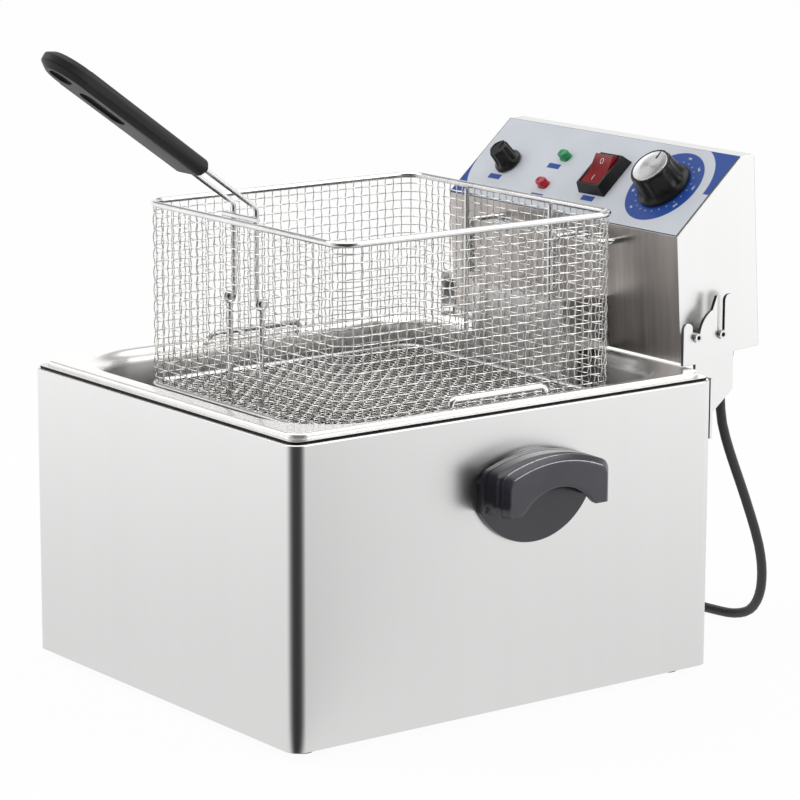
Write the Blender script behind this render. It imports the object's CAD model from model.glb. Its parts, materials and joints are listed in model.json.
"""Countertop electric deep fryer with its wire basket raised: looks, light and camera."""
import json
import math

import bmesh
import bpy
from mathutils import Matrix, Quaternion, Vector

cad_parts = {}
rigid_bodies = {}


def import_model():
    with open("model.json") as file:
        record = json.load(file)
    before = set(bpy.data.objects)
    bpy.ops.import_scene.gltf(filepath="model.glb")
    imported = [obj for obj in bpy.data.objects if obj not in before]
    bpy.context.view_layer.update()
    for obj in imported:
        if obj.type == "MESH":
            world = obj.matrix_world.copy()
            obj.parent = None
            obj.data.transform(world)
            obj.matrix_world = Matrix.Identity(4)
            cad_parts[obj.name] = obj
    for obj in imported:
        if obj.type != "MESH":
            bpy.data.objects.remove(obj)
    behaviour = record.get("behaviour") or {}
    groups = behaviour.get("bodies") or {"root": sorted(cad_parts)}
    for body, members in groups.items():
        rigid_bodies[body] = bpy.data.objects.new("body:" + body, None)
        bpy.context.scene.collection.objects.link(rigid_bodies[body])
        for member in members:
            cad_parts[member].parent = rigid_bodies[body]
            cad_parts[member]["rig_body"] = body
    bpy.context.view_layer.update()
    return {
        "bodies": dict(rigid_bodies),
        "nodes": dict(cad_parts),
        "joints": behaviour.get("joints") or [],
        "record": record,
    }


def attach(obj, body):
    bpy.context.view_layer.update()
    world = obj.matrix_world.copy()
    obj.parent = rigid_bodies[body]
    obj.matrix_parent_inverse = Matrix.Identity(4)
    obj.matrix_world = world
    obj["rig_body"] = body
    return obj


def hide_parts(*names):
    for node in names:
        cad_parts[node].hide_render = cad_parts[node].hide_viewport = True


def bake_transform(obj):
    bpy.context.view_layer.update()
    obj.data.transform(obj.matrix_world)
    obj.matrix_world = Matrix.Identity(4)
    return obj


MM = 0.001
ROOT_2 = 2 ** 0.5

# The view, in degrees, millimetres of sensor and lens, and metres
CAMERA_AZIMUTH, CAMERA_ELEVATION, CAMERA_ROLL = 53.07, 11.98, 0.149
CAMERA_SENSOR, CAMERA_LENS = 36, 158.05
CAMERA_AIM, CAMERA_FAR = (0.0720, -0.0194, 0.2291), 2.67065

# Main places of the frame's source, in its own millimetres
MID_Y = 193.68325
BODY_W = 356.0
BODY_D = 400.0
BODY_Z0 = 7.0
BODY_R = 11.0
FLANGE = 12.0
TOP_Z = 235.0
LEDGE_Z = 237.0
RIM_Z = 241.5
FLOOR_Z = 41.5
PANEL_ORIGIN = (0.0, 387.865, 343.314)
PANEL_TILT = 41.4906
PANEL_LEN = 86.917
PANEL_W = 288.0
THERMO = (90.7, 44.8)
TIMER = (-100.8, 40.0)
SWITCH = (20.0, 43.0)
LAMP_X = -41.0
LAMPS = (("green", 55.6), ("red", 24.6))


def row(x, y, z):
    """A point of the source, in millimetres, as a point of the row frame, in metres."""
    return Vector((x, y - MID_Y, z)) * MM


PANEL = Matrix.Translation(row(*PANEL_ORIGIN)) @ Matrix.Rotation(
    math.radians(PANEL_TILT), 4, "X"
)


def on_panel(x, t, z=0.0):
    """Frame of a control at (x, t) on the panel and z above it, in millimetres."""
    return PANEL @ Matrix.Translation(Vector((x, t, z)) * MM)


def round_the_edge(radius, degrees):
    """How far in and how far down a rounded edge has come, from its outer face to its top."""
    a = math.radians(degrees)
    return radius * (1 - math.cos(a)), radius * (1 - math.sin(a))


# ---- scene and camera


def clear_scene():
    for obj in list(bpy.data.objects):
        bpy.data.objects.remove(obj)


def add_object(name, data):
    obj = bpy.data.objects.new(name, data)
    bpy.context.scene.collection.objects.link(obj)
    return obj


def add_camera():
    azimuth, elevation = math.radians(CAMERA_AZIMUTH), math.radians(CAMERA_ELEVATION)
    back = Vector((
        math.sin(azimuth) * math.cos(elevation),
        -math.cos(azimuth) * math.cos(elevation),
        math.sin(elevation),
    ))
    data = bpy.data.cameras.new("camera")
    data.sensor_width = CAMERA_SENSOR
    data.lens = CAMERA_LENS
    camera = add_object("camera", data)
    roll = Quaternion((0, 0, 1), math.radians(CAMERA_ROLL))
    camera.rotation_mode = "QUATERNION"
    camera.rotation_quaternion = back.to_track_quat("Z", "Y") @ roll
    camera.location = Vector(CAMERA_AIM) + CAMERA_FAR * back
    bpy.context.scene.camera = camera


# ---- shader helpers


class Tree:
    """Short calls for one tree of nodes."""

    def __init__(self, tree):
        self.tree = tree

    def put(self, socket, value):
        if isinstance(value, bpy.types.NodeSocket):
            self.tree.links.new(value, socket)
        else:
            socket.default_value = value

    def node(self, kind, *values, **settings):
        """A new node. Its first inputs take the values, and None leaves one as it is."""
        made = self.tree.nodes.new(kind)
        for key, value in settings.items():
            setattr(made, key, value)
        for socket, value in zip(made.inputs, values):
            if value is not None:
                self.put(socket, value)
        return made

    def place(self):
        """The object's own coordinates."""
        return self.node("ShaderNodeTexCoord").outputs["Object"]

    def axes(self, vector):
        return self.node("ShaderNodeSeparateXYZ", vector).outputs

    def vector(self, operation, *values):
        return self.node("ShaderNodeVectorMath", *values, operation=operation).outputs

    def math(self, operation, a, b=0.0):
        return self.node("ShaderNodeMath", a, b, operation=operation).outputs[0]

    def range(self, value, low, high, to_low, to_high, smooth=False):
        made = self.node("ShaderNodeMapRange", value, low, high, to_low, to_high,
                         interpolation_type="SMOOTHSTEP" if smooth else "LINEAR")
        return made.outputs["Result"]

    def toward(self, vector, direction):
        """How far a vector points along a direction, from -1 to 1."""
        unit = self.vector("NORMALIZE", vector)[0]
        return self.vector("DOT_PRODUCT", unit, direction)["Value"]

    def mirrored(self, path):
        """1 for what gloss or glass shows, 0 otherwise."""
        return self.math("MAXIMUM", path.outputs["Is Glossy Ray"],
                         path.outputs["Is Transmission Ray"])


class Graph(Tree):
    """The nodes of a new material."""

    def __init__(self, name):
        self.material = bpy.data.materials.new(name)
        self.material.use_nodes = True
        super().__init__(self.material.node_tree)
        self.shader = self.tree.nodes["Principled BSDF"]

    def set(self, **values):
        for key, value in values.items():
            self.put(self.shader.inputs[key.replace("_", " ")], value)

    def coords(self, scale):
        return self.node("ShaderNodeMapping", self.place(), None, None, scale).outputs["Vector"]

    def noise(self, scale, detail, stretch=(1, 1, 1)):
        return self.node("ShaderNodeTexNoise", self.coords(stretch), None, scale, detail,
                         NOISE_ROUGH).outputs["Fac"]

    def mix(self, factor, a, b):
        made = self.node("ShaderNodeMix", factor, data_type="RGBA")
        self.put(made.inputs[6], a)
        self.put(made.inputs[7], b)
        return made.outputs[2]

    def fade(self, value, low, high, a, b):
        """Colour that goes from a to b as the value goes from low to high."""
        return self.mix(self.range(value, low, high, 0, 1), a, b)

    def bump(self, height, distance, strength):
        made = self.node("ShaderNodeBump", strength, distance)
        self.put(made.inputs["Height"], height)
        return made.outputs["Normal"]


NOISE_ROUGH = 0.55
# Heights of bumps, in metres
BRUSH_RELIEF = 0.00002
FINE_RELIEF = 0.00001
GRAIN_RELIEF = 0.00003
TURNED_RELIEF = 0.000004


def grey(value):
    return (value, value, value, 1.0)


def brushed_steel(name, tone, warmth, rough, stretch, streak):
    """Stainless sheet: fine brushing across the stretch, soft clouding and faint wiping marks."""
    g = Graph(name)
    fine = g.noise(60, 4, tuple(1 / s for s in stretch))
    wide = g.noise(9, 2, tuple(1 / s ** 0.5 for s in stretch))
    cloud = g.noise(5, 2)
    tones = [
        (level * (1 + warmth), level, level * (1 - warmth), 1.0)
        for level in (tone - streak, tone + streak)
    ]
    base = g.fade(fine, 0.3, 0.7, *tones)
    g.set(
        Base_Color=g.mix(g.range(wide, 0.35, 0.65, 0, 0.5), base, tones[1]),
        Metallic=1.0,
        Roughness=g.range(cloud, 0.3, 0.7, rough - 0.015, rough + 0.02),
        Normal=g.bump(fine, BRUSH_RELIEF, 0.5),
    )
    return g.material


def tank_steel():
    """Pressed tank: bright round its rim, duller and oil-darkened towards the floor."""
    g = Graph("tank_steel")
    z = g.axes(g.place())["Z"]
    fine = g.noise(60, 4, (1, 1, 0.16))
    cloud = g.noise(7, 3)
    wall = g.fade(fine, 0.3, 0.7, (0.84, 0.825, 0.81, 1), (0.89, 0.875, 0.86, 1))
    deep = g.fade(cloud, 0.35, 0.65, (0.05, 0.045, 0.042, 1), (0.09, 0.083, 0.078, 1))
    depth = g.range(z, 0.155, 0.205, 1, 0, True)
    gloss = g.range(z, 0.222, 0.240, 0.40, 0.22, True)
    g.set(
        Base_Color=g.mix(depth, wall, deep),
        Metallic=0.82,
        Roughness=g.math("ADD", gloss, g.range(cloud, 0.3, 0.7, -0.02, 0.03)),
        Normal=g.bump(fine, BRUSH_RELIEF, 0.5),
    )
    return g.material


def head_front_steel():
    """Brushed front of the control head: warm grain that runs upright, in wide dark streaks."""
    g = Graph("head_front_steel")
    fine = g.noise(240, 4, (1, 1, 0.02))
    wide = g.noise(38, 3, (1, 1, 0.05))
    streaks = g.fade(wide, 0.36, 0.64, (0.32, 0.293, 0.278, 1), (0.52, 0.482, 0.46, 1))
    g.set(
        Base_Color=g.mix(g.range(fine, 0.3, 0.7, 0, 0.5), streaks, (0.30, 0.275, 0.262, 1)),
        Metallic=1.0,
        Roughness=g.range(wide, 0.3, 0.7, 0.30, 0.38),
        Normal=g.bump(fine, BRUSH_RELIEF, 0.5),
    )
    return g.material


def plain_metal(name, color, rough, spread=0.05):
    """Drawn wire, turned or plated metal: slight stains and drawing marks."""
    g = Graph(name)
    fine = g.noise(250, 3)
    darker = tuple(0.86 * c for c in color[:3]) + (1.0,)
    g.set(
        Base_Color=g.fade(g.noise(40, 2), 0.35, 0.7, color, darker),
        Metallic=1.0,
        Roughness=g.range(fine, 0.3, 0.7, rough - spread, rough + spread),
        Normal=g.bump(fine, FINE_RELIEF, 0.5),
    )
    return g.material


def moulded(name, color, rough, spread=0.05, grain=900, relief=GRAIN_RELIEF, coat=0.0,
            gloss=0.5):
    """Moulded plastic or rubber: fine grain, light scuffs and faint colour drift."""
    g = Graph(name)
    fine = g.noise(grain, 2)
    drift = g.noise(25, 3)
    lighter = tuple(min(1.0, 1.18 * c + 0.004) for c in color[:3]) + (1.0,)
    g.set(
        Base_Color=g.fade(drift, 0.35, 0.7, color, lighter),
        Roughness=g.range(drift, 0.3, 0.7, rough - spread, rough + spread),
        Normal=g.bump(fine, relief, 0.6),
        Specular_IOR_Level=gloss,
        Coat_Weight=coat,
    )
    return g.material


def lens(name, color):
    """Clear tinted lens with a faint glow from within."""
    g = Graph(name)
    g.set(
        Base_Color=g.fade(g.noise(120, 2), 0.35, 0.7, color,
                          tuple(0.75 * c for c in color[:3]) + (1.0,)),
        Roughness=0.14,
        Coat_Weight=0.2,
        Emission_Color=color,
        Emission_Strength=0.04,
    )
    return g.material


# Marks of the turned cap, in radians to a metre
RING_WAVE = 14000.0


def spun_metal(name):
    """Turned aluminium cap: concentric marks whose gloss runs round the middle."""
    g = Graph(name)
    tangent = g.node("ShaderNodeTangent", direction_type="RADIAL", axis="Z")
    from_axis = g.vector("LENGTH", g.coords((1, 1, 0)))["Value"]
    rings = g.math("SINE", g.math("MULTIPLY", from_axis, RING_WAVE))
    g.set(
        Base_Color=g.fade(g.noise(70, 2), 0.3, 0.7, grey(0.52), grey(0.44)),
        Metallic=1.0,
        Roughness=g.range(rings, -1, 1, 0.24, 0.30),
        Anisotropic=0.85,
        Tangent=tangent.outputs["Tangent"],
        Normal=g.bump(rings, TURNED_RELIEF, 0.4),
    )
    return g.material


BLUE = (0.001, 0.050, 0.29, 1.0)
SILVER = ((0.56, 0.59, 0.64, 1.0), (0.61, 0.64, 0.69, 1.0))

# The panel's print, in millimetres. A field lies outside a radius, past an x and past a t.
DIAL_R = 36.0
RIGHT_FIELD = (45.5, 88.8, 44.0)
LEFT_FIELD = (41.0, -100.0, 38.0)
LABELS = ((-105, 24), (-47, 45), (-40.5, 12.5), (19, 19.6))
LABEL_SIZE = (15.0, 5.2)
TICK_COUNT = 24
TICK_IN, TICK_OUT = 25.6, 27.0
PRINT_BLUR = 0.25


def panel_film():
    """The printed control panel: silver film with plain blue fields and dial ticks."""
    g = Graph("panel_film")
    axes = g.axes(g.place())
    x, t = axes["X"], axes["Y"]

    def above(value, edge, under=0, over=1):
        return g.range(value, (edge - PRINT_BLUR) * MM, (edge + PRINT_BLUR) * MM, under, over)

    def below(value, edge):
        return above(value, edge, 1, 0)

    def both(a, b):
        return g.math("MULTIPLY", a, b)

    def either(a, b):
        return g.math("MAXIMUM", a, b)

    def offset(centre):
        return g.math("SUBTRACT", x, centre[0] * MM), g.math("SUBTRACT", t, centre[1] * MM)

    def radius(dx, dt):
        return g.math("SQRT", g.math("ADD", both(dx, dx), both(dt, dt)))

    def label(centre):
        dx, dt = [g.math("ABSOLUTE", d) for d in offset(centre)]
        return both(below(dx, LABEL_SIZE[0] / 2), below(dt, LABEL_SIZE[1] / 2))

    dx, dt = offset(THERMO)
    dial = radius(dx, dt)
    field = radius(*offset(TIMER))
    right = both(above(dial, RIGHT_FIELD[0]),
                 both(above(x, RIGHT_FIELD[1]), above(t, RIGHT_FIELD[2])))
    left = both(above(field, LEFT_FIELD[0]),
                both(below(x, LEFT_FIELD[1]), below(t, LEFT_FIELD[2])))
    blue = either(either(below(dial, DIAL_R), right), left)
    for centre in LABELS:
        blue = either(blue, label(centre))
    turn = g.math("MULTIPLY", g.math("ARCTAN2", dt, dx), TICK_COUNT / (2 * math.pi))
    turn = g.math("FRACT", turn)
    tick = g.range(g.math("ABSOLUTE", g.math("SUBTRACT", turn, 0.5)), 0.42, 0.45, 0, 1)
    tick = both(tick, both(above(dial, TICK_IN), below(dial, TICK_OUT)))
    drift = g.noise(14, 2)
    ground = g.fade(drift, 0.35, 0.65, *SILVER)
    color = g.mix(g.math("MULTIPLY", blue, 0.97), ground, BLUE)
    g.set(
        Base_Color=g.mix(g.math("MULTIPLY", tick, 0.6), color, grey(0.7)),
        Roughness=g.range(drift, 0.3, 0.7, 0.30, 0.38),
        Specular_IOR_Level=0.25,
        Normal=g.bump(g.noise(1400, 2), FINE_RELIEF, 0.4),
    )
    return g.material


def rocker_red():
    """The rocker's glossy tinted plastic."""
    g = Graph("rocker_red")
    drift = g.noise(60, 2)
    g.set(
        Base_Color=g.fade(drift, 0.35, 0.7, (0.17, 0.0, 0.003, 1), (0.24, 0.002, 0.006, 1)),
        Roughness=g.range(drift, 0.3, 0.7, 0.14, 0.2),
        Specular_IOR_Level=0.35,
        Normal=g.bump(g.noise(700, 2), FINE_RELIEF, 0.3),
    )
    return g.material


def make_materials():
    return {
        "housing": brushed_steel("housing_steel", 0.70, 0.004, 0.30, (1, 1, 40), 0.006),
        "tank": tank_steel(),
        "head": brushed_steel("head_steel", 0.74, 0.004, 0.3, (1, 1, 40), 0.012),
        "head_front": head_front_steel(),
        "cut_edge": plain_metal("cut_edge_steel", (0.13, 0.125, 0.12, 1), 0.42),
        "ledge": brushed_steel("ledge_steel", 0.02, 0.0, 0.6, (30, 1, 1), 0.005),
        "ears": brushed_steel("ear_steel", 0.74, 0.004, 0.3, (1, 30, 1), 0.012),
        "plates": brushed_steel("plate_steel", 0.60, 0.0, 0.38, (30, 1, 1), 0.02),
        "wire": plain_metal("bright_wire", grey(0.74), 0.17, 0.04),
        "mesh": plain_metal("woven_wire", (0.86, 0.85, 0.83, 1), 0.17, 0.04),
        "mesh_floor": plain_metal("woven_floor_wire", (0.66, 0.645, 0.625, 1), 0.13, 0.03),
        "screws": plain_metal("fastener_steel", grey(0.66), 0.24),
        "rubber": moulded("foot_rubber", grey(0.018), 0.7, 0.06, 600),
        "handle": moulded("handle_plastic", (0.015, 0.015, 0.022, 1), 0.22, 0.03, 1100,
                          FINE_RELIEF, coat=0.2),
        "hollow": moulded("handle_inside", grey(0.004), 0.5, 0.05, 1100, FINE_RELIEF,
                          gloss=0.2),
        "cord": moulded("cord_rubber", grey(0.016), 0.48, 0.06, 500),
        "brass": plain_metal("pin_brass", (0.78, 0.70, 0.50, 1), 0.22),
        "film": panel_film(),
        "element": plain_metal("element_steel", (0.36, 0.33, 0.31, 1), 0.34, 0.08),
        "unit_metal": plain_metal("unit_metal", (0.62, 0.60, 0.54, 1), 0.36),
        "unit_plastic": moulded("unit_plastic", (0.68, 0.66, 0.60, 1), 0.5),
        "copper": plain_metal("bulb_copper", (0.74, 0.42, 0.28, 1), 0.28),
        "black": moulded("black_plastic", grey(0.006), 0.30, 0.04, 1000, FINE_RELIEF,
                         gloss=0.28),
        "cap": spun_metal("cap_aluminium"),
        "rocker": rocker_red(),
        "button": moulded("button_red", (0.45, 0.02, 0.02, 1), 0.35),
        "green": lens("lamp_green", (0.0, 0.25, 0.07, 1)),
        "red": lens("lamp_red", (0.44, 0.0, 0.015, 1)),
        "grip": moulded("grip_plastic", grey(0.012), 0.46, 0.04, 800, FINE_RELIEF, gloss=0.3),
        "mark": moulded("mark_white", grey(0.80), 0.5),
    }


# ---- mesh helpers

BEVEL_FROM = 32
FLAT_WITHIN = 0.5
PIECE_WELD, NODE_WELD = 0.00002, 0.00001
SHEET_T = 1.0
CORNER_STEPS = 14


class Builder:
    """Collects the vertices and faces of one object, in metres."""

    def __init__(self):
        self.verts = []
        self.faces = []

    def rings(self, rings, closed=False, caps=False):
        start = len(self.verts)
        count = len(rings[0])
        for ring in rings:
            self.verts.extend(ring)
        steps = len(rings) if closed else len(rings) - 1
        for i in range(steps):
            a = start + i * count
            b = start + (i + 1) % len(rings) * count
            for k in range(count):
                n = (k + 1) % count
                self.faces.append((a + k, a + n, b + n, b + k))
        if caps:
            last = start + (len(rings) - 1) * count
            self.faces.append(tuple(range(start + count - 1, start - 1, -1)))
            self.faces.append(tuple(range(last, last + count)))

    def strips(self, rows):
        """Open rows of points joined into one surface."""
        start = len(self.verts)
        count = len(rows[0])
        for points in rows:
            self.verts.extend(points)
        for i in range(len(rows) - 1):
            for k in range(count - 1):
                a = start + i * count + k
                self.faces.append((a, a + 1, a + count + 1, a + count))

    def tube(self, path, radius, sides, closed=False):
        rings = []
        last = len(path) - 1
        side = None
        for i, point in enumerate(path):
            before = path[i - 1] if (i > 0 or closed) else path[0]
            after = path[(i + 1) % len(path)] if (i < last or closed) else path[last]
            along = (after - before).normalized()
            if side is None:
                helper = Vector((1, 0, 0)) if abs(along.x) < 0.8 else Vector((0, 1, 0))
                side = along.cross(helper).normalized()
            side = (side - along * side.dot(along)).normalized()
            up = along.cross(side)
            rings.append([
                point + radius * (math.cos(a) * side + math.sin(a) * up)
                for a in (2 * math.pi * k / sides for k in range(sides))
            ])
        self.rings(rings, closed=closed, caps=not closed)

    def build(self, name, material, sharp=35, weld=False):
        mesh = bpy.data.meshes.new(name)
        mesh.from_pydata(self.verts, [], self.faces)
        if weld:
            bm = bmesh.new()
            bm.from_mesh(mesh)
            bmesh.ops.remove_doubles(bm, verts=bm.verts, dist=PIECE_WELD)
            bmesh.ops.recalc_face_normals(bm, faces=bm.faces)
            bm.to_mesh(mesh)
            bm.free()
        mesh.shade_smooth()
        mesh.set_sharp_from_angle(angle=math.radians(sharp))
        mesh.materials.append(material)
        return add_object(name, mesh)


def soften(obj, width, segments=2):
    """Rounds the edges that are sharper than BEVEL_FROM degrees."""
    bevel = obj.modifiers.new("soft_edges", "BEVEL")
    bevel.width = width * MM
    bevel.segments = segments
    bevel.limit_method = "ANGLE"
    bevel.angle_limit = math.radians(BEVEL_FROM)
    bevel.use_clamp_overlap = False
    bevel.harden_normals = True
    return obj


def thicken(obj):
    """Makes a sheet of a surface that lies on the sheet's outer side, with flat sides kept flat."""
    wall = obj.modifiers.new("sheet", "SOLIDIFY")
    wall.thickness = SHEET_T * MM
    wall.offset = -1
    flat = obj.modifiers.new("flat_sides", "WEIGHTED_NORMAL")
    flat.keep_sharp = True
    flat.weight = 100
    return obj


def dress(frame, node, material, slot, width, other, picked):
    """Stands a welded copy with rounded edges in for a CAD node.

    Faces whose normal is picked take the other material."""
    source = frame["nodes"][node]
    bm = bmesh.new()
    bm.from_mesh(source.data)
    bmesh.ops.remove_doubles(bm, verts=bm.verts, dist=NODE_WELD)
    bmesh.ops.dissolve_limit(bm, angle_limit=math.radians(FLAT_WITHIN), verts=bm.verts,
                             edges=bm.edges)
    made = Builder()
    made.verts = [v.co.copy() for v in bm.verts]
    bm.verts.index_update()
    made.faces = [tuple(v.index for v in face.verts) for face in bm.faces]
    bm.free()
    obj = made.build(node + "_skin", material)
    if other:
        obj.data.materials.append(other)
        for face in obj.data.polygons:
            face.material_index = int(picked(face.normal))
    soften(obj, width)
    return stand_in(obj, source["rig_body"], slot, node)


def stand_in(obj, body, slot, *nodes):
    """Fixes a piece to its body and its slot, and hides the CAD nodes that it replaces."""
    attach(obj, body)
    if nodes:
        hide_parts(*nodes)
    return obj


# The corners of a rectangle in turn: side in X, side in Y, and where its arc starts
CORNERS = ((1, 1, 0), (-1, 1, 90), (-1, -1, 180), (1, -1, 270))


def corner_rect(w, d, r, cy, z):
    """Ring of a rounded rectangle, w wide and d deep about (0, cy), from +X round to +Y."""
    points = []
    for sx, sy, start in CORNERS:
        for k in range(CORNER_STEPS + 1):
            a = math.radians(start + 90 * k / CORNER_STEPS)
            points.append(row(
                sx * (w / 2 - r) + r * math.cos(a),
                cy + sy * (d / 2 - r) + r * math.sin(a),
                z,
            ))
    return points


# ---- the power cord

# The cord's places are in millimetres of the row frame
CORD_R = 4.0
CORD_SIDES = 14
GLAND_END = Vector((118.0, 266.19, 220.93))
CORD_POINTS = [
    (118, 266, 204), (118, 269, 182), (118, 278, 157), (118, 290, 130), (118, 302, 102),
    (118, 312, 75), (114, 320, 50), (106, 325, 28), (92, 328, 12), (74, 327, 5),
    (54, 324, 4), (34, 322, 4), (14, 321, 4), (-6, 321, 4), (-26, 321, 4), (-46, 321, 4),
]
COIL_X, COIL_Y = -60.0, 275.0
COIL_OUT, COIL_IN = 46.0, 38.0
COIL_STEP, COIL_POINTS = 12, 106
LAYER_LOW, LAYER_HIGH = 4.0, 12.0
# A turn's last degrees, (start, length), where the cord moves in, climbs and moves out
MOVES_IN, CLIMBS, MOVES_OUT = (60, 60), (95, 80), (125, 90)
PLUG_RUN = ((-52, 11.8), (-44, 11.3), (-37, 11.0))
# Spans of the route that turn onto the floor
TIGHT_SPANS = range(6, 11)


def catmull(points):
    """Smooth curve through the points, with more steps where the cord turns onto the floor."""
    ends = [2 * points[0] - points[1]] + points + [2 * points[-1] - points[-2]]
    curve = []
    for i in range(len(points) - 1):
        p0, p1, p2, p3 = ends[i:i + 4]
        per_span = 3 if i in TIGHT_SPANS else 2
        for j in range(per_span):
            t = j / per_span
            curve.append(0.5 * (
                2 * p1 + (p2 - p0) * t + (2 * p0 - 5 * p1 + 4 * p2 - p3) * t * t
                + (3 * p1 - p0 - 3 * p2 + p3) * t ** 3
            ))
    curve.append(points[-1])
    return curve


def crossed(left, window):
    """How much of a window the cord has passed, eased, with so many degrees of its turn left."""
    start, length = window
    t = min(1.0, max(0.0, (start - left) / length))
    return t * t * (3 - 2 * t)


def coil_point(degrees):
    """Centre of the wound cord after so many degrees of turn, in row millimetres."""
    turn, done = divmod(degrees, 360.0)
    left = 360.0 - done
    r, z = COIL_OUT, LAYER_HIGH
    if turn == 0:
        r = COIL_OUT + (COIL_IN - COIL_OUT) * crossed(left, MOVES_IN)
        z = LAYER_LOW
    elif turn == 1:
        r = COIL_IN
        z = LAYER_LOW + (LAYER_HIGH - LAYER_LOW) * crossed(left, CLIMBS)
    elif turn == 2:
        r = COIL_IN + (COIL_OUT - COIL_IN) * crossed(left, MOVES_OUT)
    a = math.radians(90 + degrees)
    return Vector((COIL_X + r * math.cos(a), COIL_Y + r * math.sin(a), z))


def cord_route():
    """The cord's middle line, from its gland over the floor and round its coil to the plug."""
    route = catmull([GLAND_END] + [Vector(p) for p in CORD_POINTS])
    route += [coil_point(COIL_STEP * k) for k in range(COIL_POINTS)]
    route += [Vector((x, COIL_Y - COIL_OUT, z)) for x, z in PLUG_RUN]
    return [p * MM for p in route]


def add_cord(materials):
    route = cord_route()
    made = Builder()
    made.tube(route, CORD_R * MM, CORD_SIDES)
    cord = made.build("power_cord_line", materials["cord"])
    length = sum((b - a).length for a, b in zip(route, route[1:]))
    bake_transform(cord)
    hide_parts("power_cord", "cord_coil")
    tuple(route[0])


# ---- sheet metal

TANK_IN = 6.0
TANK_W, TANK_D, TANK_R = BODY_W - 2 * TANK_IN, BODY_D - 2 * TANK_IN, BODY_R + 1
TANK_WALL_LEVELS = (190, 140, 100, 75)
TANK_FLOOR_RINGS = (0.6, 0.25)
OPEN_W, OPEN_D, OPEN_R = 314.0, 350.0, 56.0
OPEN_Y = 203.0
TANK_FILLET = 18.0
LIP_R = 11.0
RIM_FOLD = 1.6


def add_tank(materials):
    """The pressed tank: folded rim, rolled lip, straight walls and a filleted floor."""
    rings = []

    def outer(inset, z):
        rings.append(corner_rect(TANK_W - 2 * inset, TANK_D - 2 * inset, TANK_R - inset,
                                 BODY_D / 2, z))

    def inner(grow, z):
        rings.append(corner_rect(OPEN_W + 2 * grow, OPEN_D + 2 * grow, OPEN_R + grow, OPEN_Y, z))

    outer(0, LEDGE_Z)
    for degrees in (0, 30, 60, 90):
        inset, drop = round_the_edge(RIM_FOLD, degrees)
        outer(inset, RIM_Z - drop)
    for degrees in (90, 75, 60, 45, 30, 15, 0):
        grow, drop = round_the_edge(LIP_R, degrees)
        inner(grow, RIM_Z - drop)
    for z in TANK_WALL_LEVELS:
        inner(0, z)
    for degrees in (0, 15, 30, 45, 60, 75, 90):
        inset, rise = round_the_edge(TANK_FILLET, degrees)
        inner(-inset, FLOOR_Z + rise)
    middle = row(0, OPEN_Y, FLOOR_Z)
    for shrink in TANK_FLOOR_RINGS:
        rings.append([middle + (p - middle) * shrink for p in rings[-1]])
    made = Builder()
    made.rings(rings)
    first = (len(rings) - 1) * len(rings[0])
    made.faces.append(tuple(range(first, first + len(rings[0]))))
    tank = thicken(made.build("tank_shell", materials["tank"], 60))
    stand_in(tank, "base", "sheet_steel", "tank")


HOUSING_FOLD = 1.3
LEAST_R = 0.4
REAR_WINDOW = (152.0, 33.0, 209.0)


def add_housing(materials):
    """The wrapped housing sheet, folded in at the top and open at the rear window."""
    half, low, high = REAR_WINDOW

    def ring(inset, z):
        points = corner_rect(BODY_W - 2 * inset, BODY_D - 2 * inset,
                             max(LEAST_R, BODY_R - inset), BODY_D / 2, z)
        first = CORNER_STEPS + 1
        window = [row(half, BODY_D - inset, z), row(-half, BODY_D - inset, z)]
        return points[:first] + window + points[first:]

    rings = [ring(0, z) for z in (BODY_Z0, low, high)]
    for degrees in (0, 30, 60, 90):
        inset, drop = round_the_edge(HOUSING_FOLD, degrees)
        rings.append(ring(inset, TOP_Z - drop))
    rings.append(ring(FLANGE, TOP_Z))
    made = Builder()
    made.rings(rings)
    window_face = len(rings[0]) + CORNER_STEPS + 1
    del made.faces[window_face]
    housing = thicken(made.build("housing_wrap", materials["housing"], 50))
    stand_in(housing, "base", "sheet_steel", "outer_housing")


HOOD_LOW = 164.0
HOOD_Y = 218.0
HOOD_DEPTH = 32.8
HOOD_H = 41.0
HOOD_CROWN = 11.0
HOOD_CORNER = 9.0
HOOD_WALL = 4.0
HOOD_ROLL, HOOD_BAND = 2.6, 3.8
HOOD_BODY_RINGS = 7
ARCH_POINTS, CORNER_POINTS = 20, 7
# How far each row of the front lies from the arch down to the lower edge
FRONT_ROWS = (0.12, 0.35, 0.65, 0.9, 1.0)
NOTCH_HALF, NOTCH_H = 34.0, 17.5


def hood_arch(half, h):
    """Outline of the hood, in millimetres, from its lower left over the arch to its right."""
    r = (half * half + HOOD_CROWN ** 2) / (2 * HOOD_CROWN)
    centre_u = half - HOOD_CORNER
    centre_v = h - r + math.sqrt((r - HOOD_CORNER) ** 2 - centre_u ** 2)
    lean = math.atan2(centre_u, centre_v - (h - r))
    right = [(half, 0.0), (half, centre_v * 0.5)]
    for k in range(CORNER_POINTS):
        a = (math.pi / 2 - lean) * k / (CORNER_POINTS - 1)
        right.append((centre_u + HOOD_CORNER * math.cos(a), centre_v + HOOD_CORNER * math.sin(a)))
    for k in range(1, ARCH_POINTS // 2 + 1):
        a = lean * (1 - 2 * k / ARCH_POINTS)
        right.append((r * math.sin(a), h - r + r * math.cos(a)))
    return [(-u, v) for u, v in right] + right[-2::-1]


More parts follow.
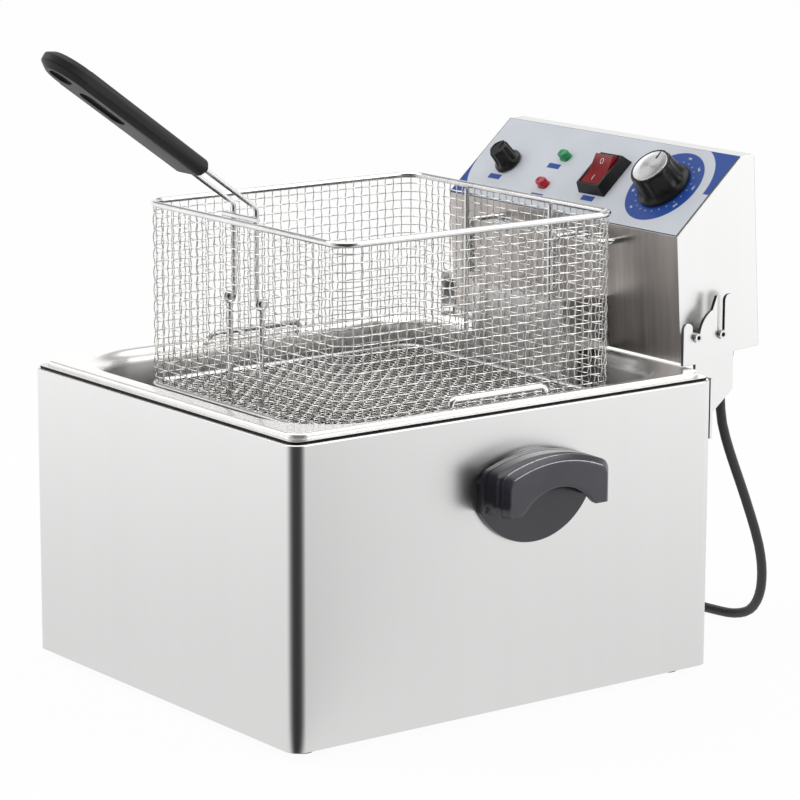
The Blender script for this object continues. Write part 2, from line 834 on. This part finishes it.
def hood_levels():
    """(depth, half width, height) of the hood's rings: seam groove, then a chamfered band."""
    levels = [(4.0, 52.0, HOOD_H), (9.2, 51.7, HOOD_H), (9.6, 51.0, 40.3), (10.2, 51.0, 40.3),
              (10.6, 51.5, HOOD_H), (18.0, 51.0, HOOD_H)]
    half, depth = 50.6, HOOD_DEPTH - HOOD_ROLL - HOOD_BAND / ROOT_2
    inset = 0.0
    for degrees in (90, 75, 60, 45):
        a = math.radians(degrees)
        inset = HOOD_ROLL * (1 - math.sin(a))
        levels.append((depth + HOOD_ROLL * math.cos(a), half - inset, HOOD_H - inset))
    depth += (HOOD_ROLL + HOOD_BAND) / ROOT_2
    inset += HOOD_BAND / ROOT_2
    for degrees in (45, 30, 15, 0):
        a = math.radians(degrees)
        more = inset + HOOD_ROLL * (1 / ROOT_2 - math.sin(a))
        levels.append((depth + HOOD_ROLL * (math.cos(a) - 1 / ROOT_2), half - more,
                       HOOD_H - more))
    return levels


def hood_lower(half, count):
    """Lower edge of the hood's front, with its finger notch, matched to the arch's points."""
    r = (NOTCH_HALF ** 2 + NOTCH_H ** 2) / (2 * NOTCH_H)
    points = []
    for k in range(count):
        u = half * (2 * k / (count - 1) - 1)
        v = NOTCH_H - r + math.sqrt(r ** 2 - u * u) if abs(u) < NOTCH_HALF else 0.0
        points.append((u, max(0.0, v)))
    return points


def hood_shell(name, rows, materials):
    """Sheet through the rows, given the hood's wall on its inner side."""
    made = Builder()
    made.strips(rows)
    piece = made.build(name, materials["handle"], 50, weld=True)
    piece.data.materials.append(materials["hollow"])
    shell = piece.modifiers.new("wall", "SOLIDIFY")
    shell.thickness = HOOD_WALL * MM
    shell.offset = -1
    shell.material_offset = 1
    return piece


def add_hood(side, materials):
    """Moulded side handle: arched hood, and a chamfered front band with a finger notch."""
    name = "left" if side < 0 else "right"
    mirror = Matrix.Diagonal((side, 1, 1, 1))

    def place(points, depth):
        return [mirror @ row(BODY_W / 2 + depth, HOOD_Y + u, HOOD_LOW + v) for u, v in points]

    levels = hood_levels()
    rows = [place(hood_arch(half, h), depth) for depth, half, h in levels]
    depth, half, h = levels[-1]
    arch = hood_arch(half, h)
    low = hood_lower(half, len(arch))
    for s in FRONT_ROWS:
        rows.append(place([
            (a[0] + (b[0] - a[0]) * s, a[1] + (b[1] - a[1]) * s) for a, b in zip(arch, low)
        ], depth))
    body = hood_shell("pull_hood_shell_" + name, rows[:HOOD_BODY_RINGS], materials)
    stand_in(body, "base", "handle_plastic", "pull_hood_" + name)
    band = hood_shell("pull_hood_band_" + name, rows[HOOD_BODY_RINGS - 1:], materials)
    return stand_in(band, "base", "handle_plastic")


# ---- controls

FLUTE_POWER = 3


def lathe_piece(name, profile, place, material, body, node, slot, count=96, flutes=0, depth=0.0):
    """A turned, fluted piece in the panel's axes, from (radius, height, flute share)."""
    rings = []
    for r, z, share in profile:
        ring = []
        for k in range(count):
            a = 2 * math.pi * k / count
            wave = abs(math.cos(a * flutes / 2)) ** FLUTE_POWER if flutes else 0.0
            rr = r - depth * share * wave
            ring.append(Vector((rr * math.cos(a), rr * math.sin(a), z)) * MM)
        rings.append(ring)
    made = Builder()
    made.rings(rings, caps=True)
    obj = made.build(name, material, 40)
    obj.matrix_world = on_panel(*place)
    stand_in(obj, body, slot, node)


def add_knobs(materials):
    """The fluted thermostat knob with its turned cap, and the smaller timer knob."""
    body = "thermostat_knob_body"
    profile = [
        (3.2, 1.9, 0), (22.6, 1.9, 0), (23.2, 2.4, 0), (23.3, 3.2, 0), (22.8, 4.4, 0),
        (21.4, 5.6, 0.3), (20.4, 7.5, 0.9), (19.4, 12.0, 1), (18.7, 18.0, 1), (18.2, 22.4, 0.6),
        (17.7, 24.2, 0.3), (17.0, 24.9, 0.1), (16.4, 25.0, 0), (16.1, 24.6, 0), (16.1, 23.6, 0),
        (3.2, 23.6, 0), (3.2, 17.2, 0),
    ]
    lathe_piece("thermostat_knob_turned", profile, THERMO, materials["black"], body,
                "thermostat_knob", "black_plastic", count=192, flutes=10, depth=1.3)
    cap = [
        (0.4, 23.7, 0), (15.8, 23.7, 0), (15.9, 24.4, 0), (15.5, 24.9, 0), (14.9, 25.0, 0),
        (14.3, 24.75, 0), (9.0, 24.6, 0), (4.0, 24.55, 0), (0.6, 24.55, 0),
    ]
    lathe_piece("thermostat_cap_turned", cap, THERMO, materials["cap"], body, "thermostat_cap",
                "cap_aluminium")
    small = [
        (3.2, 1.9, 0), (11.2, 1.9, 0), (11.9, 2.3, 0), (12.0, 3.2, 0), (11.6, 5.0, 0),
        (10.6, 5.9, 0.2), (9.7, 7.0, 0.7), (9.2, 9.0, 1), (8.9, 14.0, 1), (8.8, 17.6, 1),
        (8.4, 19.0, 0.7), (7.6, 19.8, 0.3), (6.6, 19.9, 0), (6.2, 19.3, 0), (0.5, 19.3, 0),
    ]
    lathe_piece("timer_knob_turned", small, TIMER, materials["black"], "timer_knob_body",
                "timer_knob", "black_plastic", count=144, flutes=8, depth=1.1)


LAMP_POWER = 3.2
LAMP_SIDES = 40
LAMP_RINGS = (
    (5.6, 4.4, 1.0), (5.6, 4.4, 1.7), (5.4, 4.2, 2.0), (5.0, 3.8, 2.1),
    (5.0, 3.8, 6.4), (4.7, 3.5, 7.2), (3.7, 2.6, 8.0), (1.7, 1.2, 8.35),
)


def squared_oval(w, h, z):
    """Ring of an oval with full corners, w and h from its middle, in millimetres."""
    ring = []
    for k in range(LAMP_SIDES):
        a = 2 * math.pi * k / LAMP_SIDES
        c, s = math.cos(a), math.sin(a)
        ring.append(Vector((
            w * math.copysign(abs(c) ** (2 / LAMP_POWER), c),
            h * math.copysign(abs(s) ** (2 / LAMP_POWER), s), z,
        )) * MM)
    return ring


def add_lamp(color, t, materials):
    """Small jewelled lamp: a collar and a lens with a crowned, soft-cornered top."""
    made = Builder()
    made.rings([squared_oval(*size) for size in LAMP_RINGS], caps=True)
    obj = made.build(color + "_lamp_lens", materials[color], 30)
    obj.matrix_world = on_panel(LAMP_X, t)
    stand_in(obj, "head", "lamp_" + color, color + "_lamp")


def rounded_box(name, low, high, matrix, material, width, segments=3):
    """A box between two corners, in millimetres of the given frame, with rounded edges."""
    bm = bmesh.new()
    bmesh.ops.create_cube(bm, size=1)
    for v in bm.verts:
        v.co = Vector([(a + b) / 2 + c * (b - a) for a, b, c in zip(low, high, v.co)]) * MM
    mesh = bpy.data.meshes.new(name)
    bm.to_mesh(mesh)
    bm.free()
    mesh.materials.append(material)
    obj = add_object(name, mesh)
    obj.matrix_world = matrix
    return soften(obj, width, segments)


def panel_sheet(name, material, side_in, end_in, top, width, segments=3):
    """A thin sheet on the panel, so far in from its sides and its ends."""
    return rounded_box(
        name, (-PANEL_W / 2 + side_in, end_in, 0.05),
        (PANEL_W / 2 - side_in, PANEL_LEN - end_in, top), PANEL, material, width, segments,
    )


def add_film(materials):
    """The panel's printed film, and the sheet's dark edge that shows round it."""
    edge = panel_sheet("control_edge", materials["cut_edge"], side_in=0.4, end_in=0.4, top=0.75,
                       width=0.15)
    stand_in(edge, "head", "panel_face")
    film = panel_sheet("control_film", materials["film"], side_in=1.4, end_in=0.8, top=1.0,
                       width=0.3, segments=2)
    stand_in(film, "head", "panel_face", "control_panel")


ROCKER_PIVOT = 6.5
ROCKER_TILT = 12.0
ROCKER_MID, ROCKER_END, ROCKER_HALF = 4.5, 7.0, 15.0
MARK_T = 7.6
MARK_R, MARK_PROUD = 0.24, 0.02
I_HEIGHTS = (-2.7, -1.35, 0, 1.35, 2.7)
O_HALF = (1.7, 2.2)
O_POINTS = 32


def add_marks(materials):
    """The plain I and O on the rocker's two faces, and the knobs' pointer lines."""
    frame = (on_panel(*SWITCH, ROCKER_PIVOT)
             @ Matrix.Rotation(math.radians(ROCKER_TILT), 4, "X"))
    fall = math.atan2(ROCKER_END - ROCKER_MID, ROCKER_HALF)
    height = ROCKER_MID + MARK_T * math.tan(fall)
    turns = [2 * math.pi * k / O_POINTS for k in range(O_POINTS)]
    line = [(0, y) for y in I_HEIGHTS]
    loop = [(O_HALF[0] * math.cos(a), O_HALF[1] * math.sin(a)) for a in turns]
    for name, sign, points in (("mark_on", -1, line), ("mark_off", 1, loop)):
        made = Builder()
        path = [Vector((x, y, MARK_PROUD)) * MM for x, y in points]
        made.tube(path, MARK_R * MM, 8, closed=points is loop)
        mark = made.build(name, materials["mark"])
        mark.matrix_world = (
            frame @ Matrix.Translation(Vector((0, sign * MARK_T, height)) * MM)
            @ Matrix.Rotation(sign * fall, 4, "X")
        )
        stand_in(mark, "rocker_body", "rocker_red")
    pointer = rounded_box("cap_pointer", (-0.6, 8.0, 24.5), (0.6, 15.6, 25.05),
                          on_panel(*THERMO), materials["black"], 0.2)
    stand_in(pointer, "thermostat_knob_body", "black_plastic")
    ridge = rounded_box("timer_pointer", (-1.0, 0.5, 19.1), (1.0, 8.2, 20.0),
                        on_panel(*TIMER), materials["black"], 0.35)
    stand_in(ridge, "timer_knob_body", "black_plastic")


NUMBERS = range(60, 201, 20)
NUMBER_SIZE, NUMBER_T = 3.0, 0.03
NUMBER_R, NUMBER_Z = 31, 1.02
FIRST_NUMBER, NUMBER_STEP = 235, 38


def add_numbers(materials):
    """Plain degree numbers round the thermostat's dial."""
    merged = bmesh.new()
    for k, value in enumerate(NUMBERS):
        a = math.radians(FIRST_NUMBER - NUMBER_STEP * k)
        data = bpy.data.curves.new("number", "FONT")
        data.body = str(value)
        data.size = NUMBER_SIZE * MM
        data.extrude = NUMBER_T * MM
        data.align_x = data.align_y = "CENTER"
        holder = add_object("number", data)
        bpy.context.view_layer.update()
        mesh = bpy.data.meshes.new_from_object(holder)
        place = Vector((THERMO[0] + NUMBER_R * math.cos(a), THERMO[1] + NUMBER_R * math.sin(a),
                        NUMBER_Z)) * MM
        mesh.transform(Matrix.Translation(place) @ Matrix.Rotation(a - math.pi / 2, 4, "Z"))
        merged.from_mesh(mesh)
        bpy.data.objects.remove(holder)
        bpy.data.meshes.remove(mesh)
    mesh = bpy.data.meshes.new("dial_numbers")
    merged.to_mesh(mesh)
    merged.free()
    mesh.materials.clear()
    mesh.materials.append(materials["mark"])
    obj = add_object("dial_numbers", mesh)
    obj.matrix_world = PANEL
    stand_in(obj, "head", "panel_face")


# ---- the basket's mesh

BASKET_W, BASKET_D, BASKET_R = 260.0, 261.0, 16.0
BASKET_MID = 207.5
BASKET_Z0, BASKET_Z1 = 220.794, 364.794
MESH_WIRE_R = 0.5
MESH_SIDES = 5
MESH_AROUND, MESH_UP = 8.0, 6.8
CRIMP = 0.5


def crimp(k, wire):
    """How far a wire stands out at its k-th quarter of a mesh, over its neighbours or under."""
    return CRIMP * math.cos(math.pi * k / 4 + math.pi * wire)


def basket_outline():
    """Points and outward normals round the basket's plan, four to a mesh, and the mesh count."""
    straight = (BASKET_W - 2 * BASKET_R, BASKET_D - 2 * BASKET_R)
    arc = math.pi / 2 * BASKET_R
    total = 2 * sum(straight) + 4 * arc
    count = 2 * round(total / MESH_AROUND / 2)
    parts = []
    for k, (sx, sy, start) in enumerate(CORNERS):
        centre = (sx * (BASKET_W / 2 - BASKET_R), BASKET_MID + sy * (BASKET_D / 2 - BASKET_R))
        parts.append((centre, start, arc, 90.0, 0.0))
        parts.append((centre, start + 90, straight[k % 2], 0.0, 1.0))
    out = []
    for k in range(4 * count):
        s = total * k / (4 * count)
        for centre, start, length, turn, along in parts:
            if s <= length:
                break
            s -= length
        a = math.radians(start + turn * s / length)
        nx, ny = math.cos(a), math.sin(a)
        out.append(((centre[0] + BASKET_R * nx - along * s * ny,
                     centre[1] + BASKET_R * ny + along * s * nx), (nx, ny)))
    return out, count


def add_walls(materials):
    """Woven wire walls: crimped uprights and rings passing over and under each other."""
    outline, count = basket_outline()
    rows = round((BASKET_Z1 - BASKET_Z0) / MESH_UP)
    pitch = (BASKET_Z1 - BASKET_Z0) / rows
    made = Builder()
    for j in range(count):
        (x, y), (nx, ny) = outline[4 * j]
        path = []
        for k in range(4 * rows + 1):
            wave = crimp(k, j) if 0 < k < 4 * rows else 0.0
            path.append(row(x + wave * nx, y + wave * ny, BASKET_Z0 + pitch * k / 4))
        made.tube(path, MESH_WIRE_R * MM, MESH_SIDES)
    for i in range(1, rows):
        path = []
        for k, ((x, y), (nx, ny)) in enumerate(outline):
            wave = -crimp(k, i)
            path.append(row(x + wave * nx, y + wave * ny, BASKET_Z0 + pitch * i))
        made.tube(path, MESH_WIRE_R * MM, MESH_SIDES, closed=True)
    walls = made.build("basket_weave_walls", materials["mesh"], 80)
    stand_in(walls, "basket", "bright_wire", "basket_mesh_walls")


def add_bottom(materials):
    """Woven wire floor, its wires ending in the bottom frame."""
    made = Builder()

    def lay(width, length, sign, place):
        """Wires side by side over the width, cut short at the rounded corners."""
        count, meshes = round(width / MESH_UP), round(length / MESH_UP)
        pitch, mesh = width / count, length / meshes
        for i in range(1, count):
            across = -width / 2 + i * pitch
            beyond = max(0.0, abs(across) - (width / 2 - BASKET_R))
            reach = length / 2 - (BASKET_R - math.sqrt(BASKET_R ** 2 - beyond ** 2))
            path = []
            for k in range(4 * meshes + 1):
                along = -length / 2 + k * mesh / 4
                if abs(along) <= reach:
                    path.append(place(across, along, BASKET_Z0 + sign * crimp(k, i)))
            made.tube(path, MESH_WIRE_R * MM, MESH_SIDES)

    lay(BASKET_W, BASKET_D, 1, lambda across, along, z: row(across, BASKET_MID + along, z))
    lay(BASKET_D, BASKET_W, -1, lambda across, along, z: row(along, BASKET_MID + across, z))
    floor = made.build("basket_weave_floor", materials["mesh_floor"], 80)
    stand_in(floor, "basket", "bright_wire", "basket_mesh_bottom")


# ---- all the other nodes

# CAD nodes that stay as they are, by material
KEPT = {
    "plates": "base_plate rear_panel head_base_plate element_flange",
    "wire": "tank_loop_left tank_loop_right basket_hanger basket_rim basket_base_frame "
            "basket_supports basket_hooks handle_wires",
    "screws": "foot_screws pull_screws ear_screws head_screws pivot_pins bulb_clip",
    "brass": "plug_pins", "element": "heating_element", "copper": "thermostat_bulb",
    "unit_metal": "thermostat_unit", "unit_plastic": "timer_unit high_limit_unit terminal_block",
    "black": "cord_gland cord_tie", "cord": "plug_body", "button": "reset_button",
}
# CAD nodes that get rounded edges, after their material, slot and edge width in millimetres
DRESSED = (
    ("housing", "sheet_steel", 0.2, "top_frame"),
    ("rubber", "foot_rubber", 0.8,
     "foot_front_left foot_front_right foot_rear_left foot_rear_right"),
    ("handle", "handle_plastic", 0.8, "pull_plate_left pull_plate_right"),
    ("ears", "sheet_steel", 0.5, "ear_left ear_right"),
    ("head", "sheet_steel", 0.45, "head_case"),
    ("plates", "sheet_steel", 0.3, "head_back_cover"),
    ("head", "sheet_steel", 0.4, "element_cover"),
    ("black", "black_plastic", 0.5, "switch_body"),
    ("rocker", "rocker_red", 0.5, "rocker"),
    ("grip", "grip_plastic", 0.9, "handle_grip"),
)
# Faces of a dressed node with a material of their own
OTHER_FACES = {
    "top_frame": ("ledge", lambda normal: abs(normal.z) < 0.5),
    "head_case": ("head_front", lambda normal: normal.y < -0.9),
    "head_back_cover": ("cut_edge", lambda normal: abs(normal.x) > 0.5),
    "ear_left": ("cut_edge", lambda normal: abs(normal.x) < 0.5),
    "ear_right": ("cut_edge", lambda normal: abs(normal.x) < 0.5),
}


def dress_nodes(frame, materials):
    for key, nodes in KEPT.items():
        for node in nodes.split():
            mesh = frame["nodes"][node].data
            mesh.materials.clear()
            mesh.materials.append(materials[key])
    for key, slot, width, nodes in DRESSED:
        for node in nodes.split():
            other, picked = OTHER_FACES.get(node, (None, None))
            dress(frame, node, materials[key], slot, width, other and materials[other], picked)


# ---- studio

DARK_SIDE = (0.80, -0.60, 0.0)
FRONT_CORNER = (0.178, -0.194, 0.0)
FLOOR_HALF, FLOOR_TONE = 12.0, 0.86
FLOOR_SEEN, WORLD_LIGHT = 0.95, 0.85
LAMP_AIM = Vector((0, 0, 0.2))
# From a value, to a value, and the level at each: by distance in metres, cosine or height
FLOOR_BY_DISTANCE = (0.25, 2.2, 0.98, 1.38)
FLOOR_DARK_SIDE = (0.06, 0.92, 1.0, 0.03)
WALL_BY_HEIGHT = (0.28, 0.52, 1.2, 0.40)
CEILING_BY_HEIGHT = (0.62, 0.80, 0.0, 1.7)
ROOM_DARK_SIDE = (0.25, 0.90, 1.0, 0.08)


def add_floor():
    """White floor that keeps the shadow; in the gloss it is darker on the room's dark side."""
    far = FLOOR_HALF
    mesh = bpy.data.meshes.new("studio_floor")
    mesh.from_pydata([(-far, -far, 0), (far, -far, 0), (far, far, 0), (-far, far, 0)],
                     [], [(0, 1, 2, 3)])
    floor = add_object("studio_floor", mesh)
    g = Graph("studio_floor")
    g.set(Base_Color=grey(FLOOR_TONE), Roughness=0.9)
    place = g.place()
    offset = g.vector("SUBTRACT", place, FRONT_CORNER)[0]
    level = g.math(
        "MULTIPLY",
        g.range(g.vector("LENGTH", place)["Value"], *FLOOR_BY_DISTANCE, smooth=True),
        g.range(g.toward(offset, DARK_SIDE), *FLOOR_DARK_SIDE, smooth=True),
    )
    white = g.node("ShaderNodeEmission", grey(1.0), 1.0).outputs[0]
    gloss = g.node("ShaderNodeEmission", grey(1.0), level).outputs[0]
    path = g.node("ShaderNodeLightPath")
    seen = g.math("MULTIPLY", path.outputs["Is Camera Ray"], FLOOR_SEEN)
    lit = g.node("ShaderNodeMixShader", seen, g.shader.outputs[0], white).outputs[0]
    shown = g.node("ShaderNodeMixShader", g.mirrored(path), lit, gloss).outputs[0]
    g.put(g.tree.nodes["Material Output"].inputs["Surface"], shown)
    mesh.materials.append(g.material)


def add_world():
    """White for the camera; in gloss, bright walls, a dim band, a soft ceiling and a dark side."""
    world = bpy.data.worlds.new("studio")
    world.use_nodes = True
    bpy.context.scene.world = world
    tree = Tree(world.node_tree)
    view = tree.node("ShaderNodeTexCoord").outputs["Generated"]
    height = tree.axes(view)["Z"]
    level = tree.math("ADD", tree.range(height, *WALL_BY_HEIGHT, smooth=True),
                      tree.range(height, *CEILING_BY_HEIGHT, smooth=True))
    room = tree.math("MULTIPLY", level, tree.range(tree.toward(view, DARK_SIDE),
                                                   *ROOM_DARK_SIDE, smooth=True))
    path = tree.node("ShaderNodeLightPath")
    lit = tree.node("ShaderNodeMix", path.outputs["Is Camera Ray"], None, WORLD_LIGHT,
                    1.0).outputs[0]
    strength = tree.node("ShaderNodeMix", tree.mirrored(path), None, lit, room).outputs[0]
    background = world.node_tree.nodes["Background"].inputs
    tree.put(background["Strength"], strength)
    tree.put(background["Color"], grey(1.0))


def area_lamp(name, width, length, power):
    data = bpy.data.lights.new(name, "AREA")
    data.shape = "RECTANGLE"
    data.size, data.size_y = width, length
    data.energy = power
    return add_object(name, data)


def add_light(name, place, side, power):
    """Square lamp at a place, aimed at the object."""
    light = area_lamp(name, side, side, power)
    light.location = place
    light.rotation_euler = (LAMP_AIM - Vector(place)).to_track_quat("-Z", "Y").to_euler()


HOOD_EDGE = Vector((0.208, 0.024, 0.200))
TO_CAMERA = Vector((0.782, -0.588, 0.207))
STRIP_FAR = 1.3
STRIP_WIDTH = 0.22
STRIP_RADIANCE = 13.0
STRIP_LEANS = (-32, 32)


def add_hood_strip(name, tilt, bands):
    """A strip lamp, for the hoods' front bands alone, that draws a line along an edge."""
    ends = []
    out, up = math.cos(math.radians(tilt)), math.sin(math.radians(tilt))
    for lean in STRIP_LEANS:
        a = math.radians(lean)
        normal = Vector((out, up * math.sin(a), up * math.cos(a)))
        ends.append(HOOD_EDGE + STRIP_FAR * (2 * normal.dot(TO_CAMERA) * normal - TO_CAMERA))
    middle = (ends[0] + ends[1]) / 2
    along = ends[1] - ends[0]
    back = (middle - HOOD_EDGE).normalized()
    side = along.cross(back).normalized()
    power = STRIP_RADIANCE * math.pi * STRIP_WIDTH * along.length
    strip = area_lamp(name, STRIP_WIDTH, along.length, power)
    turn = Matrix((side, back.cross(side), back)).transposed()
    strip.matrix_world = Matrix.Translation(middle) @ turn.to_4x4()
    receivers = bpy.data.collections.new(name + "_receivers")
    for band in bands:
        receivers.objects.link(band)
    strip.light_linking.receiver_collection = receivers
    strip.data.cycles.max_bounces = 0


def set_studio(bands):
    """Floor, lamps and world; the strips light the hoods' bands alone."""
    add_floor()
    add_hood_strip("hood_strip_top", 62, bands)
    add_hood_strip("hood_strip_band", 26, bands)
    add_world()
    add_light("key", (-1.6, -1.6, 2.2), 1.6, 18)
    add_light("side", (2.2, 1.6, 1.4), 1.4, 14)
    bpy.context.scene.view_settings.view_transform = "Standard"


# ---- run

clear_scene()
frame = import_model()
add_camera()
materials = make_materials()
add_cord(materials)
dress_nodes(frame, materials)
add_housing(materials)
add_tank(materials)
bands = [add_hood(side, materials) for side in (-1, 1)]
add_film(materials)
add_numbers(materials)
add_knobs(materials)
for color, t in LAMPS:
    add_lamp(color, t, materials)
add_marks(materials)
add_walls(materials)
add_bottom(materials)
set_studio(bands)
